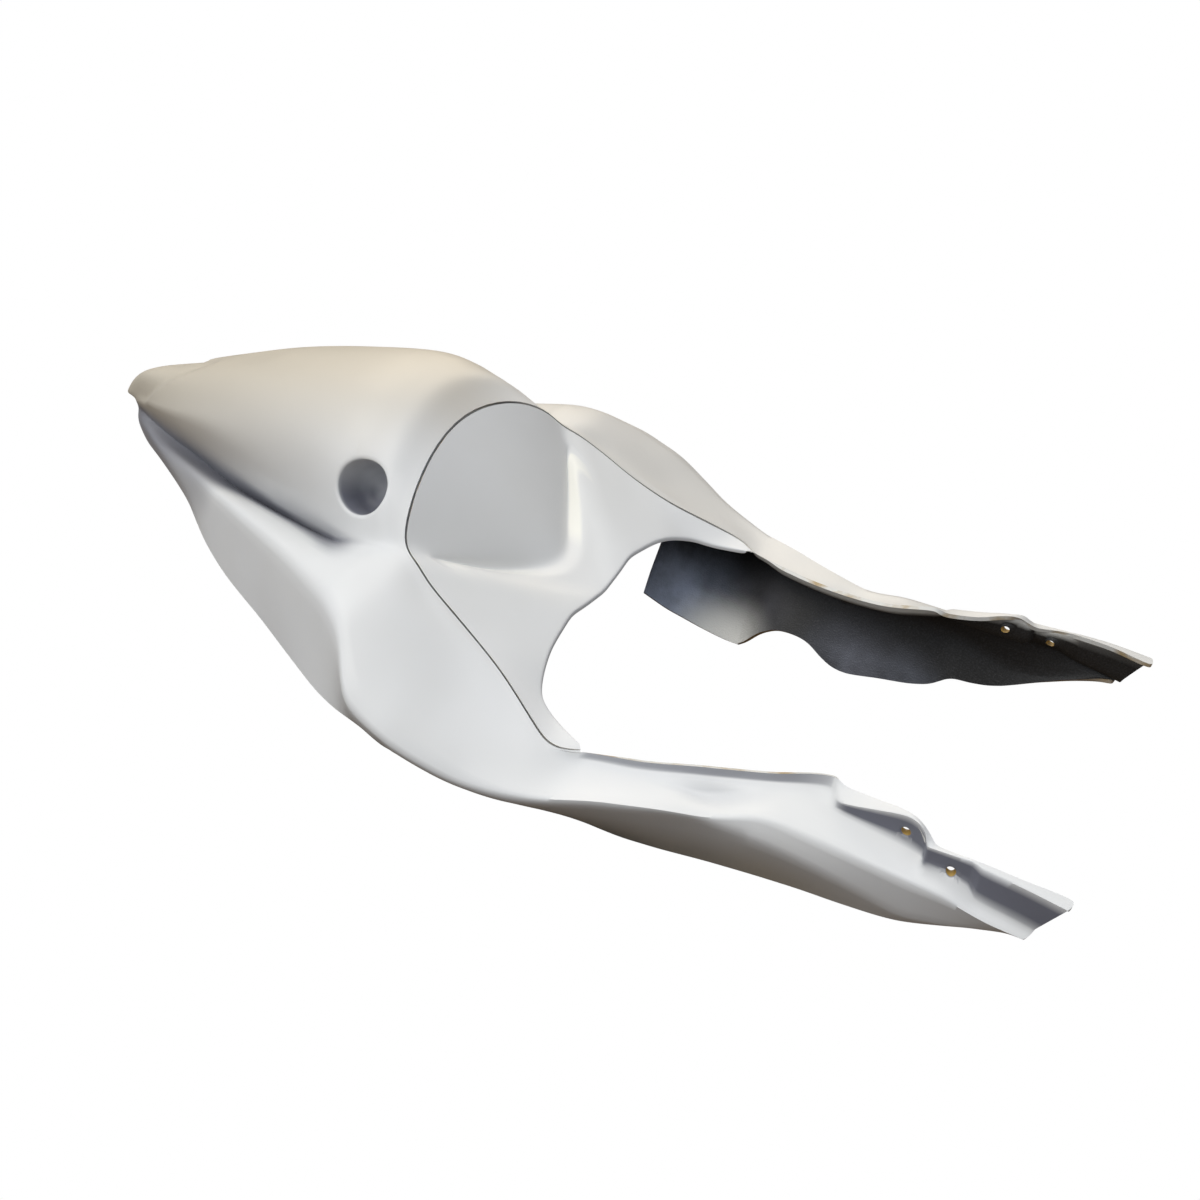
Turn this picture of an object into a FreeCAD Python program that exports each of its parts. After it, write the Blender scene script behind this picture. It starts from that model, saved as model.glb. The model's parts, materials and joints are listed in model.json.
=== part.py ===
import FreeCAD, Part
import math
import os
from FreeCAD import Vector

# Tail fairing of a motorcycle: a thin moulded tail shell with two long arms, and a seat pan
# set into a rebate in the shell. +X is forward, +Y is left, +Z is up; sizes are in millimetres.

# Walls, seam and rebate
SHELL_WALL = 3.0
PAN_WALL = 2.6
SEAM_GAP = 1.6
PAN_CLEARANCE = 0.4
REBATE_WIDTH = 14.0
REBATE_WALL = 2.6
REBATE_SHARE = 0.5
PAN_LIP_DEPTH = 7.0
PAN_BEND = 5.0
MITRE_LIMIT = 0.6

# Cups in the sides of the hump
CUP_MOUTH_D = 37.0
CUP_DEPTH = 24.0
CUP_WALL = 2.5
CUP_X = -101.0
CUP_SIDE = 83.0
CUP_HEIGHT = 198.0

# Bolt holes at the front of each arm
BOLT_HOLE_D = 5.5
BOLT_X = 304.0
BOLT_SIDE = 112.0
BOLT_HEIGHT = 93.0
BOLT_PITCH = 32.0
BOLT_DROP = 8.0
BOLT_FLARE = 8.3
BOLT_HEADROOM = 13.0
BOLT_FOOTROOM = 4.0

# Cut-outs in the lower edge of the left arm: middle along X, height of the circle's centre, radius
SCALLOP_X = 148.0
SCALLOP_HEIGHT = -11.0
SCALLOP_R = 36.0
NOTCH_X = 267.0
NOTCH_HEIGHT = 12.0
NOTCH_R = 13.0

# Stations along the length
TAIL_X = -403.0
CORNER_X = -51.0
TONGUE_X = 102.0
TIP_X = 403.0
TAIL_STEPS = 11
SIDE_STEPS = 9
ARM_STEPS = 18

# Lines of the skin, from tail to arm tip, each a few points (x, half width, height), drawn for
# the tail, corner, tongue and tip at these stations and stretched to the stations above
DRAWN_STATIONS = (-403, -51, 102, 403)
FLANGE_TOP = BOLT_HEIGHT + BOLT_HEADROOM
CROWN = [(-403, 0, 165), (-391, 0, 178), (-367, 0, 189), (-336, 0, 198), (-291, 0, 212),
         (-230, 0, 229), (-175, 0, 239), (-114, 0, 245), (-92, 0, 242), (-79, 0, 233),
         (-70, 0, 223)]
EDGE = [(-392, 7, 163), (-343, 30, 176), (-247, 62, 192), (-156, 85, 184), (-96, 101, 170),
        (-51, 103, 172), (-26, 112, 156), (33, 124, 117), (52, 132, 106), (81, 145, 89),
        (92, 144, 86), (102, 137, 85), (175, 115, 87), (217, 106, 91), (257, 100, 100),
        (285, 108, FLANGE_TOP - 3), (307, 112, FLANGE_TOP), (318, 115, FLANGE_TOP - 7),
        (352, 122, FLANGE_TOP - 9), (403, 124, 92)]
GROOVE = [(-392, 6, 158), (-343, 25, 159), (-234, 59, 153), (-146, 87, 155), (-96, 104, 163),
          (-51, 114, 170), (-26, 122, 153), (23, 133, 120), (52, 143, 102), (81, 154, 87),
          (102, 139, 78), (175, 117, 79), (217, 108, 83), (247, 103, 90), (265, 106, 92),
          (304, 113, BOLT_HEIGHT - BOLT_FOOTROOM), (335, 121, BOLT_HEIGHT - BOLT_DROP - BOLT_FOOTROOM),
          (346, 126, 81), (403, 127, 84)]
LEDGE = [(-392, 6, 154), (-343, 27, 148), (-274, 57, 146), (-194, 88, 154), (-120, 119, 163),
         (-51, 133, 167), (23, 151, 113), (52, 165, 95), (81, 170, 81), (102, 156, 77),
         (175, 131, 77), (217, 119, 82), (265, 119, 85), (304, 125, 79), (346, 133, 76),
         (403, 130, 81)]
HIP = [(-392, 7, 150), (-321, 41, 153), (-261, 69, 152), (-194, 101, 156), (-120, 137, 163),
       (-64, 165, 161), (-53, 170, 155), (-26, 205, 124), (3, 208, 109), (52, 197, 83),
       (98, 179, 76), (146, 159, 76), (190, 144, 74), (223, 135, 82), (263, 135, 77),
       (301, 137, 70), (339, 137, 70), (403, 133, 75)]
FLANK = [(-392, 8, 146), (-321, 46, 137), (-261, 75, 128), (-194, 110, 128), (-120, 149, 131),
         (-64, 177, 128), (-26, 205, 112), (3, 207, 99), (52, 196, 76), (98, 178, 69),
         (146, 158, 70), (190, 143, 68), (223, 141, 68), (271, 141, 62), (316, 137, 49),
         (348, 135, 52), (403, 132, 70)]
HEM = [(-388, 11, 145), (-375, 18, 134), (-346, 32, 129), (-299, 55, 116), (-259, 82, 106),
       (-209, 111, 102), (-102, 167, 102), (-26, 199, 102), (-4, 201, 92), (11, 130, 24),
       (55, 123, 11), (99, 120, 4), (190, 120, 9), (256, 125, 18), (313, 132, 34),
       (343, 133, 48), (380, 130, 60), (403, 130, 64)]

# The front end of each arm is cut back by this much at each line, from hem to edge
ARM_END_SLANT = [24.0, 23.0, 21.0, 14.0, 8.0, 0.0]
SLANT_START_X = 348.0

# Fullness of the hump between edge and crown: share of the half width, share of the height
HUMP_UPPER = (0.55, 0.97)
HUMP_LOWER = (0.90, 0.58)
SEAM_UPPER = (0.52, 0.80)
SEAM_LOWER = (0.88, 0.34)
SEAM_SETBACK = 19.0
SEAM_REACH = 41.0

# Seat pan: the fold under the backrest and the front edge, from the middle outwards
FOLD = [(13, 0, 124), (0, 29, 129), (-11, 49, 138), (-22, 69, 147), (-44, 97, 167)]
PAN_FRONT = [(44, 0, 109), (43, 38, 112), (42, 64, 111), (49, 89, 106), (58, 112, 97),
             (75, 122, 90), (96, 129, 87)]
SIDE_SAMPLES = 7
ARC_SAMPLES = 7


def spread(start, end, steps):
    """Evenly spaced stations after start, up to end."""
    return [start + (end - start) * (k + 1) / steps for k in range(steps)]


def slope_at(points, i, axis):
    """Slope of a line at its point i that never overshoots its neighbours."""
    last = len(points) - 1
    before = points[max(i - 1, 0)]
    here = points[i]
    after = points[min(i + 1, last)]
    if i in (0, last):
        return (after[axis] - before[axis]) / (after[0] - before[0])
    left = (here[axis] - before[axis]) / (here[0] - before[0])
    right = (after[axis] - here[axis]) / (after[0] - here[0])
    if left * right <= 0:
        return 0.0
    return 2 * left * right / (left + right)


def on_line(points, x):
    """Half width and height of a line at station x."""
    x = min(max(x, points[0][0]), points[-1][0])
    k = 0
    while points[k + 1][0] < x:
        k += 1
    span = points[k + 1][0] - points[k][0]
    t = (x - points[k][0]) / span
    values = []
    for axis in (1, 2):
        rise0 = slope_at(points, k, axis) * span
        rise1 = slope_at(points, k + 1, axis) * span
        value0 = points[k][axis]
        value1 = points[k + 1][axis]
        values.append((2 * t ** 3 - 3 * t ** 2 + 1) * value0 + (t ** 3 - 2 * t ** 2 + t) * rise0
                      + (3 * t ** 2 - 2 * t ** 3) * value1 + (t ** 3 - t ** 2) * rise1)
    return values


def mix(a, b, share):
    return a + (b - a) * share


def unit(vector):
    return vector * (1.0 / vector.Length)


def placed(points):
    """A drawn line, stretched along X to the named stations."""
    named = (TAIL_X, CORNER_X, TONGUE_X, TIP_X)
    line = []
    for x, width, height in points:
        k = 0
        while k < len(named) - 2 and x > DRAWN_STATIONS[k + 1]:
            k += 1
        share = (x - DRAWN_STATIONS[k]) / (DRAWN_STATIONS[k + 1] - DRAWN_STATIONS[k])
        line.append((mix(named[k], named[k + 1], share), width, height))
    return line


SIDE_LINES = [placed(line) for line in (HEM, FLANK, HIP, LEDGE, GROOVE, EDGE)]
CROWN_LINE = placed(CROWN)


def half_section(x):
    """Poles of one half section at station x, from the hem up to the crown (y is the half width)."""
    near_seam = math.exp(-((x - CORNER_X) / SEAM_REACH) ** 2)
    slant = max(0.0, (x - SLANT_START_X) / (TIP_X - SLANT_START_X))
    poles = []
    for line, cut_back in zip(SIDE_LINES, ARM_END_SLANT):
        station = max(x, line[0][0]) - cut_back * slant
        width, height = on_line(line, station)
        poles.append(Vector(station, width, height))
    edge = poles[-1]
    crown_x = x - SEAM_SETBACK * near_seam
    crown_height = on_line(CROWN_LINE, crown_x)[1]
    for hump, seam, setback in ((HUMP_LOWER, SEAM_LOWER, 0.25), (HUMP_UPPER, SEAM_UPPER, 0.65)):
        width = edge.y * mix(hump[0], seam[0], near_seam)
        height = mix(edge.z, crown_height, mix(hump[1], seam[1], near_seam))
        poles.append(Vector(x - SEAM_SETBACK * setback * near_seam, width, height))
    poles.append(Vector(crown_x, 0, crown_height))
    return poles


ROWS = ([TAIL_X] + spread(TAIL_X, CORNER_X, TAIL_STEPS) + spread(CORNER_X, TONGUE_X, SIDE_STEPS)
        + spread(TONGUE_X, TIP_X, ARM_STEPS))
SEAM_ROW = TAIL_STEPS
EDGE_COLUMN = len(SIDE_LINES) - 1
CROWN_COLUMN = EDGE_COLUMN + 3
V_MIDDLE = CROWN_COLUMN - EDGE_COLUMN - 1


def skin_poles():
    """Pole grid of the whole skin, tail to tip, right hem to left hem."""
    halves = [half_section(x) for x in ROWS]
    for i in range(SEAM_ROW + 1, len(ROWS)):
        row = halves[i]
        ahead = row[EDGE_COLUMN] * 2 - row[EDGE_COLUMN - 1]
        for column in range(EDGE_COLUMN + 1, CROWN_COLUMN + 1):
            pace = halves[SEAM_ROW][column] - halves[SEAM_ROW - 1][column]
            row[column] = halves[SEAM_ROW][column] + pace * (i - SEAM_ROW)
        if i > SEAM_ROW + 1:
            row[EDGE_COLUMN + 1] = ahead
    grid = []
    for row in halves:
        right = [Vector(p.x, -p.y, p.z) for p in row]
        left = [Vector(p.x, p.y, p.z) for p in reversed(row[:-1])]
        grid.append(right + left)
    return grid


def offset_poles(grid, depth):
    """The same grid moved inwards by depth, square to the skin."""
    moved = []
    for i, row in enumerate(grid):
        ahead = grid[min(i + 1, len(grid) - 1)]
        behind = grid[max(i - 1, 0)]
        last = len(row) - 1
        line = []
        for j, pole in enumerate(row):
            along = ahead[j] - behind[j]
            before = unit((row[max(j, 1)] - row[max(j, 1) - 1]).cross(along))
            after = unit((row[min(j, last - 1) + 1] - row[min(j, last - 1)]).cross(along))
            inward = unit(before + after)
            mitre = 1.0 / max(MITRE_LIMIT, inward.dot(before))
            line.append(pole + inward * (depth * mitre))
        moved.append(line)
    return moved


def knots_for(count):
    """Even knots and their multiplicities for a smooth curve with this many poles."""
    inner = count - 4
    return list(range(inner + 2)), [4] + [1] * inner + [4]


def curve(poles):
    """Smooth curve led by poles."""
    knots, mults = knots_for(len(poles))
    line = Part.BSplineCurve()
    line.buildFromPolesMultsKnots(poles, mults, knots, False, 3)
    return line


def surface(grid):
    """Smooth skin led by a grid of poles."""
    u_knots, u_mults = knots_for(len(grid))
    v_knots, v_mults = knots_for(len(grid[0]))
    skin = Part.BSplineSurface()
    skin.buildFromPolesMultsKnots(grid, u_mults, v_mults, u_knots, v_knots, False, False, 3, 3)
    return skin


def patch(skin, u0, u1, v0, v1):
    piece = skin.copy()
    piece.segment(u0, u1, v0, v1)
    return piece.toShape()


def ruled(*edges):
    """Strips that join each edge to the next."""
    return [Part.makeRuledSurface(a, b) for a, b in zip(edges[:-1], edges[1:])]


def triangle(a, b, c):
    return Part.Face(Part.makePolygon([a, b, c, a]))


def solid_from(faces):
    """Closed solid sewn from faces that share their edges."""
    shell = Part.makeCompound(faces)
    shell.sewShape(0.02)
    solid = Part.makeSolid(shell.Shells[0])
    if solid.Volume < 0:
        solid.reverse()
    return solid


def mirrored(point):
    return Vector(point.x, -point.y, point.z)


# Parameters along the skin where its parts meet, and where the rebate runs out inside
U_SEAM = SEAM_ROW - 1
U_TONGUE = SEAM_ROW + SIDE_STEPS - 1
U_TIP = len(ROWS) - 3
U_INNER = U_SEAM - 0.25
INNER_SHARE = 0.35
TONGUE_STOP = 0.5


def column(grid, j):
    return curve([row[j] for row in grid])


def hump_surface(grid):
    """Skin of the hump and tail between the two edges."""
    last = 2 * CROWN_COLUMN - EDGE_COLUMN
    return surface([row[EDGE_COLUMN:last + 1] for row in grid])


def seam_points(edge, hump):
    """Points on the right half of the seam, from tongue to middle."""
    points = []
    for k in range(SIDE_SAMPLES):
        points.append(edge.value(mix(U_TONGUE - TONGUE_STOP, U_SEAM, k / SIDE_SAMPLES)))
    for k in range(ARC_SAMPLES):
        points.append(hump.value(U_SEAM, V_MIDDLE * k / (ARC_SAMPLES - 1)))
    return points


def resample(points, count):
    """Points evenly spread along a smooth line through points, on the right side."""
    line = Part.BSplineCurve()
    line.interpolate([Vector(x, -width, height) for x, width, height in points])
    first, last = line.FirstParameter, line.LastParameter
    return [line.value(mix(last, first, k / (count - 1))) for k in range(count)]


def pan_rows(edge, hump):
    """Right half of the pan, from tongue to middle: points on seam, fold and front, way in, normal."""
    seam = seam_points(edge, hump)
    count = len(seam)
    front = resample(placed(PAN_FRONT), count)
    fold = [mix(a, b, 0.3) for a, b in zip(seam[:SIDE_SAMPLES], front)] + resample(placed(FOLD), ARC_SAMPLES)
    rows = []
    for k in range(count):
        inward = unit(fold[k] - seam[k])
        ahead = seam[min(k + 1, count - 1)]
        behind = seam[max(k - 1, 0)]
        normal = unit(inward.cross(ahead - behind))
        rows.append((seam[k], fold[k], front[k], inward, normal))
    return rows


def pan_row(row):
    """Poles across the pan's top, from seam to front lip."""
    seam, fold, front, inward, normal = row
    start = seam + inward * SEAM_GAP
    near = min(PAN_BEND, 0.25 * (fold - start).Length)
    far = min(PAN_BEND, 0.25 * (front - fold).Length)
    lip = front - Vector(0, 0, min(PAN_LIP_DEPTH, REBATE_SHARE * (front - seam).Length))
    return [start, fold - unit(fold - start) * near, fold + unit(front - fold) * far, front, lip]


def whole(half):
    """Both halves of a grid that ends in the middle."""
    return half + [[mirrored(p) for p in line] for line in reversed(half[:-1])]


def zones(grid):
    """A pan grid cut into its right side, its arc and its left side."""
    last = len(grid) - 1
    return (grid[:SIDE_SAMPLES + 1], grid[SIDE_SAMPLES:last - SIDE_SAMPLES + 1], grid[last - SIDE_SAMPLES:])


def make_pan(rows):
    """The seat pan: backrest, fold, base and downturned front lip, of even wall."""
    grid = whole([pan_row(row) for row in rows])
    under = offset_poles(grid, PAN_WALL)
    columns = range(len(grid[0]))
    faces = []
    for top_zone, low_zone in zip(zones(grid), zones(under)):
        top = [column(top_zone, j).toShape() for j in columns]
        low = [column(low_zone, j).toShape() for j in columns]
        faces += ruled(*top) + ruled(*low) + ruled(top[0], low[0]) + ruled(top[-1], low[-1])
    for end in (0, -1):
        for j in columns[:-1]:
            corners = (grid[end][j], grid[end][j + 1], under[end][j + 1], under[end][j])
            faces.append(triangle(corners[0], corners[1], corners[2]))
            faces.append(triangle(corners[0], corners[2], corners[3]))
    return solid_from(faces)


def rebate_row(row):
    """Outer, inner and lower edge points of the rebate under one line of the pan."""
    seam, fold, front, inward, normal = row
    width = min(REBATE_WIDTH, REBATE_SHARE * (front - seam).Length)
    step = seam - normal * (PAN_WALL + PAN_CLEARANCE)
    ledge = step + inward * width
    return [step, ledge, ledge - normal * REBATE_WALL]


def make_skin(grid, inner, rows):
    """The shell as moulded and trimmed, with its rebate, before holes and cups."""
    last = 2 * CROWN_COLUMN
    outer_hump = hump_surface(grid)
    inner_hump = hump_surface(inner)
    v_end = 2 * V_MIDDLE
    faces = [patch(outer_hump, 0, U_SEAM, 0, v_end), patch(inner_hump, 0, U_INNER, 0, v_end)]
    faces += ruled(outer_hump.uIso(0).toShape(), inner_hump.uIso(0).toShape())
    rebate = zones(whole([rebate_row(row) for row in rows]))
    spans = ((0, U_SEAM, 0, U_INNER),
             (U_SEAM, U_TONGUE, U_INNER, U_TONGUE),
             (U_TONGUE, U_TIP, U_TONGUE, U_TIP))
    for side, zone in ((0, 0), (1, 2)):
        order = [last - j if side else j for j in range(EDGE_COLUMN + 1)]
        out_lines = [column(grid, j) for j in order]
        in_lines = [column(inner, j) for j in order]
        shelf = curve([mix(row[order[-1]], row[order[-2]], INNER_SHARE) for row in inner])
        for u0, u1, w0, w1 in spans:
            out_edges = [line.toShape(u0, u1) for line in out_lines]
            in_edges = [line.toShape(w0, w1) for line in in_lines[:-1] + [shelf]]
            faces += ruled(*out_edges) + ruled(*in_edges) + ruled(out_edges[0], in_edges[0])
        faces += ruled(in_lines[-1].toShape(0, U_INNER), shelf.toShape(0, U_INNER))
        faces += ruled(out_lines[-1].toShape(U_TONGUE, U_TIP), shelf.toShape(U_TONGUE, U_TIP))
        for u in (0, U_TIP):
            out_points = [line.value(u) for line in out_lines]
            in_points = [line.value(u) for line in in_lines[:-1] + [shelf]]
            if u == 0:
                faces.append(triangle(out_points[-1], in_lines[-1].value(0), in_points[-1]))
            for a, b, c, d in zip(out_points[:-1], out_points[1:], in_points[1:], in_points[:-1]):
                faces.append(triangle(a, b, c))
                faces.append(triangle(a, c, d))
        strip = [column(rebate[zone], j).toShape() for j in range(3)]
        faces += ruled(out_lines[-1].toShape(U_SEAM, U_TONGUE), *strip, shelf.toShape(U_INNER, U_TONGUE))
        ends = [out_lines[-1].value(U_TONGUE)] + list(rebate[zone][-1 if side else 0])
        for a, b in zip(ends[:-1], ends[1:]):
            faces.append(triangle(a, b, shelf.value(U_TONGUE)))
        corner = in_lines[-1].value(U_INNER)
        ledge = rebate[zone][0 if side else -1]
        faces.append(triangle(corner, ledge[2], shelf.value(U_INNER)))
    strip = [column(rebate[1], j).toShape() for j in range(3)]
    faces += ruled(outer_hump.uIso(U_SEAM).toShape(), *strip, inner_hump.uIso(U_INNER).toShape())
    return solid_from(faces)


def cup_tools(hump, middle, side):
    """Sleeve and bore of the cup on one side of the hump."""
    u, v = hump.parameter(Vector(CUP_X, side * CUP_SIDE, CUP_HEIGHT))
    mouth = hump.value(u, v)
    axis = hump.normal(u, v)
    if axis.y * side < 0:
        axis = axis * -1
    reach = CUP_MOUTH_D
    sleeve = Part.makeCylinder(CUP_MOUTH_D / 2 + CUP_WALL, CUP_DEPTH + CUP_WALL + reach,
                               mouth + axis * reach, axis * -1)
    skin = patch(middle, u - 3, U_SEAM, max(v - 1.5, 0), min(v + 1.5, 2 * V_MIDDLE))
    sleeve = sleeve.cut(skin.extrude(axis * (2 * reach)))
    bore = Part.makeCylinder(CUP_MOUTH_D / 2, CUP_DEPTH + reach, mouth + axis * reach, axis * -1)
    return sleeve, bore


def bolt_holes():
    """Cutters for both bolt holes of both arms, square to the wall they go through."""
    run = math.sqrt(BOLT_PITCH ** 2 - BOLT_DROP ** 2 - BOLT_FLARE ** 2)
    length = 40.0
    for side in (-1, 1):
        axis = unit(Vector(-BOLT_FLARE, side * run, 0))
        for k in range(2):
            out = BOLT_SIDE + k * BOLT_FLARE
            middle = Vector(BOLT_X + k * run, side * out, BOLT_HEIGHT - k * BOLT_DROP)
            yield Part.makeCylinder(BOLT_HOLE_D / 2, length, middle - axis * (length / 2), axis)


def arm_cuts():
    """Cutters for the cut-outs in the lower edge of the left arm."""
    start = 60.0
    length = 200.0
    for x, height, radius in ((SCALLOP_X, SCALLOP_HEIGHT, SCALLOP_R), (NOTCH_X, NOTCH_HEIGHT, NOTCH_R)):
        yield Part.makeCylinder(radius, length, Vector(x, start, height), Vector(0, 1, 0))


def build():
    poles = skin_poles()
    inner = offset_poles(poles, SHELL_WALL)
    hump = hump_surface(poles)
    middle = hump_surface(offset_poles(poles, SHELL_WALL / 2))
    rows = pan_rows(column(poles, EDGE_COLUMN), hump)
    shell = make_skin(poles, inner, rows)
    print("skin", shell.isValid(), round(shell.Volume), len(shell.Faces))
    bores = []
    for side in (-1, 1):
        sleeve, bore = cup_tools(hump, middle, side)
        shell = shell.fuse(sleeve)
        bores.append(bore)
    for tool in bores + list(bolt_holes()) + list(arm_cuts()):
        shell = shell.cut(tool)
    pan = make_pan(rows)
    down = Vector(0, 0, -shell.optimalBoundingBox(False).ZMin)
    nodes = {"tail_shell": shell, "seat_pan": pan}
    for name, shape in nodes.items():
        shape.translate(down)
        print(name, shape.isValid(), round(shape.Volume), len(shape.Solids), shape.BoundBox)
    return nodes


os.makedirs("parts", exist_ok=True)
for name, shape in build().items():
    shape.exportStep("parts/" + name + ".step")
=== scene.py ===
# %% [markdown]
# # A motorcycle tail fairing
# The object is a bare race-style tail unit, moulded in glass-fibre laminate with a white primer
# gelcoat. It has two pieces: the long tail shell with its arms, and the seat pan let into it.
# Both are thin smooth skins, so each one is drawn as a coarse cage, smoothed by a subdivision
# surface and then given its wall by Solidify.

# %% Load the shared frame
import json
import math

import bmesh
import bpy
from mathutils import Matrix, Vector
from mathutils.bvhtree import BVHTree


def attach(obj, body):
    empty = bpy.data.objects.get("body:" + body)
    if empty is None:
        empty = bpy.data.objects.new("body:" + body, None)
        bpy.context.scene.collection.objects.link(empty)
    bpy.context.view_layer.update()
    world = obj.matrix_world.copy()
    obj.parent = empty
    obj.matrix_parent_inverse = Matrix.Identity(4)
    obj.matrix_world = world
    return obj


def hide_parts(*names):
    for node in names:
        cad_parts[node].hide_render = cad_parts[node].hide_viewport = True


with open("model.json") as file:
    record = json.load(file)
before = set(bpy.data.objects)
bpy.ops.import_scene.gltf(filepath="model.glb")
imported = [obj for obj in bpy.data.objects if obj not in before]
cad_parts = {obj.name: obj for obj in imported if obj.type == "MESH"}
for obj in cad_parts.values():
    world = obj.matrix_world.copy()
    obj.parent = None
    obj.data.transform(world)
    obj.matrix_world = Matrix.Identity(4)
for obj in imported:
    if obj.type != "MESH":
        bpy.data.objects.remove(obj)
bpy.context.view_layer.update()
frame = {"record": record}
MM = 0.001
bolts = frame["record"]["mounts"][0]["pos_m"]
BOLTS_DRAWN_HEIGHT = 89.0
LIFT = bolts[2] - BOLTS_DRAWN_HEIGHT * MM


def at(x, y, z):
    """A drawn point in millimetres, as a place in the frame."""
    return Vector((x * MM, y * MM, z * MM + LIFT))


# %% [markdown]
# ## Camera
# The viewpoint is high at the front right, and looks back and down across the part. The lens is a
# normal one, neither wide nor long.

# %% Camera
EYE = (414, -680, 619)
LOOK = Vector((-0.400, 0.728, -0.557)).normalized()
right = LOOK.cross(Vector((0, 0, 1))).normalized()
upward = right.cross(LOOK)
bpy.ops.object.camera_add()
camera = bpy.context.object
camera.name = "view_camera"
camera.data.lens = 39.0
camera.data.sensor_width = 36.0
camera.matrix_world = Matrix((right, upward, -LOOK)).transposed().to_4x4()
camera.location = at(*EYE)
bpy.context.scene.camera = camera
print("camera at", [round(v, 3) for v in camera.location])

# %% [markdown]
# ## Lines of the shell
# A fairing is drawn by its long lines: the crown along the top, the edge under the hump, the
# groove below it, the hip, and the trimmed hem. Each line is a few points (x forward, half width,
# height) in millimetres, and the cage takes one column from each.

# %% Lines from tail to arm tip
CROWN = [(-403, 0, 164), (-398, 0, 172), (-391, 0, 180), (-381, 0, 187), (-367, 0, 192.5),
         (-336, 0, 201), (-291, 0, 214), (-230, 0, 230), (-175, 0, 239), (-114, 0, 245),
         (-92, 0, 242), (-79, 0, 233), (-70, 0, 223)]
EDGE = [(-392, 7, 163), (-343, 30, 176), (-247, 62, 192), (-156, 85, 184), (-96, 101, 170),
        (-51, 103, 172), (-26, 112, 156), (4, 117, 135), (33, 124, 117), (52, 132, 106),
        (69, 140, 96), (81, 145, 89), (92, 144, 86), (102, 137, 84), (139, 126, 83),
        (175, 115, 85.5), (217, 106, 91), (247, 102, 100), (257, 102, 102), (261, 103, 98.5),
        (283, 106.4, 100), (305, 112.8, 104.3), (311, 115, 103.5), (319, 118, 98.5),
        (324, 121.5, 95), (345, 124, 96.3), (373, 124.3, 94.4), (396, 122, 91), (403, 122, 90)]
BROW = [(-392, 6.5, 160.5), (-346, 26.5, 164), (-295, 45.5, 165), (-246, 59.5, 164),
        (-196, 72.5, 163), (-154, 84, 163), (-96, 102.5, 166), (-51, 108, 171),
        (-26, 117, 154.5), (23, 127, 123),
        (52, 137.5, 104), (81, 149.5, 88), (92, 147, 83), (102, 139, 80), (139, 128, 78),
        (175, 117, 80), (217, 108, 85.5), (240, 105, 91), (250, 105, 94.5), (257, 106, 95),
        (264, 115.7, 95.7), (286, 115.5, 100.1), (305, 116.4, 104.3), (312, 119, 104.6),
        (317, 121.5, 100.5), (320, 126, 95.8), (346, 126, 96.3), (352, 128, 95.5), (370, 129.3, 94.5),
        (403, 131, 90)]
GROOVE = [(-392, 5.5, 156), (-350, 16.5, 144), (-313, 25, 138), (-280, 36, 135.5), (-250, 46, 133.5),
          (-220, 54, 133.5), (-187, 64, 135.5), (-150, 76, 140), (-122, 88, 147), (-96, 102, 158),
          (-51, 114, 170), (-26, 122, 153), (23, 133, 120), (52, 143, 102), (81, 154, 87),
          (92, 152, 82), (102, 143, 79), (139, 132, 77), (175, 121, 79), (217, 112, 84.5),
          (240, 109, 89), (250, 113, 91), (257, 115, 91), (278, 116, 88), (309, 118, 85.2),
          (317, 119.5, 84), (320, 127, 86), (346, 127.5, 82), (352, 131, 75.5), (375, 131, 71),
          (403, 131.5, 64)]
LEDGE = [(-392, 6, 153), (-343, 23, 142), (-313, 34, 139.5), (-274, 50, 141.5), (-230, 66, 147.5),
         (-187, 82, 153), (-150, 97, 158), (-120, 112, 162.5),
         (-64, 130, 169), (-51, 133, 167), (23, 151, 113), (52, 165, 95), (81, 170, 81),
         (102, 159, 77), (139, 145, 75.5), (175, 133, 76.5), (217, 122, 82), (238, 121, 86),
         (265, 124, 85), (304, 128, 80), (335, 132, 78), (351, 133.5, 71.5), (375, 133, 67),
         (403, 132, 61)]
HIP = [(-392, 7, 150), (-343, 29, 142.5), (-313, 42, 144.5), (-280, 59, 148), (-261, 69, 150),
       (-194, 101, 156), (-120, 137, 163), (-64, 166, 162), (-53, 172, 157), (-38, 192, 139.5),
       (-26, 207, 127), (3, 211, 111.5),
       (29, 206, 97), (52, 198, 85), (77, 188, 79), (98, 179, 76), (126, 167, 77), (146, 159, 76),
       (168, 151, 75), (190, 144, 74), (209, 138, 78), (223, 135, 82), (263, 136.5, 79.5),
       (280, 137, 78.5), (311, 138, 76.4), (335, 139, 74.5), (359, 139.5, 68.8), (371, 138.5, 66.2),
       (403, 134.5, 60)]
FLANK = [(-392, 8, 146), (-321, 46, 137), (-261, 75, 128), (-194, 110, 128), (-120, 149, 131),
         (-64, 177, 128), (-38, 196, 119), (-26, 205, 112), (3, 207, 99), (29, 203, 86),
         (52, 196, 76), (77, 188, 71), (98, 178, 69), (126, 166, 70), (146, 158, 70),
         (168, 149, 69), (190, 143, 68), (223, 141, 67), (265, 140, 61), (290, 138, 53.4),
         (315, 136, 46), (335, 134.5, 49), (359, 134, 56.5), (375, 133, 60), (403, 131.5, 56)]
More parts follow.
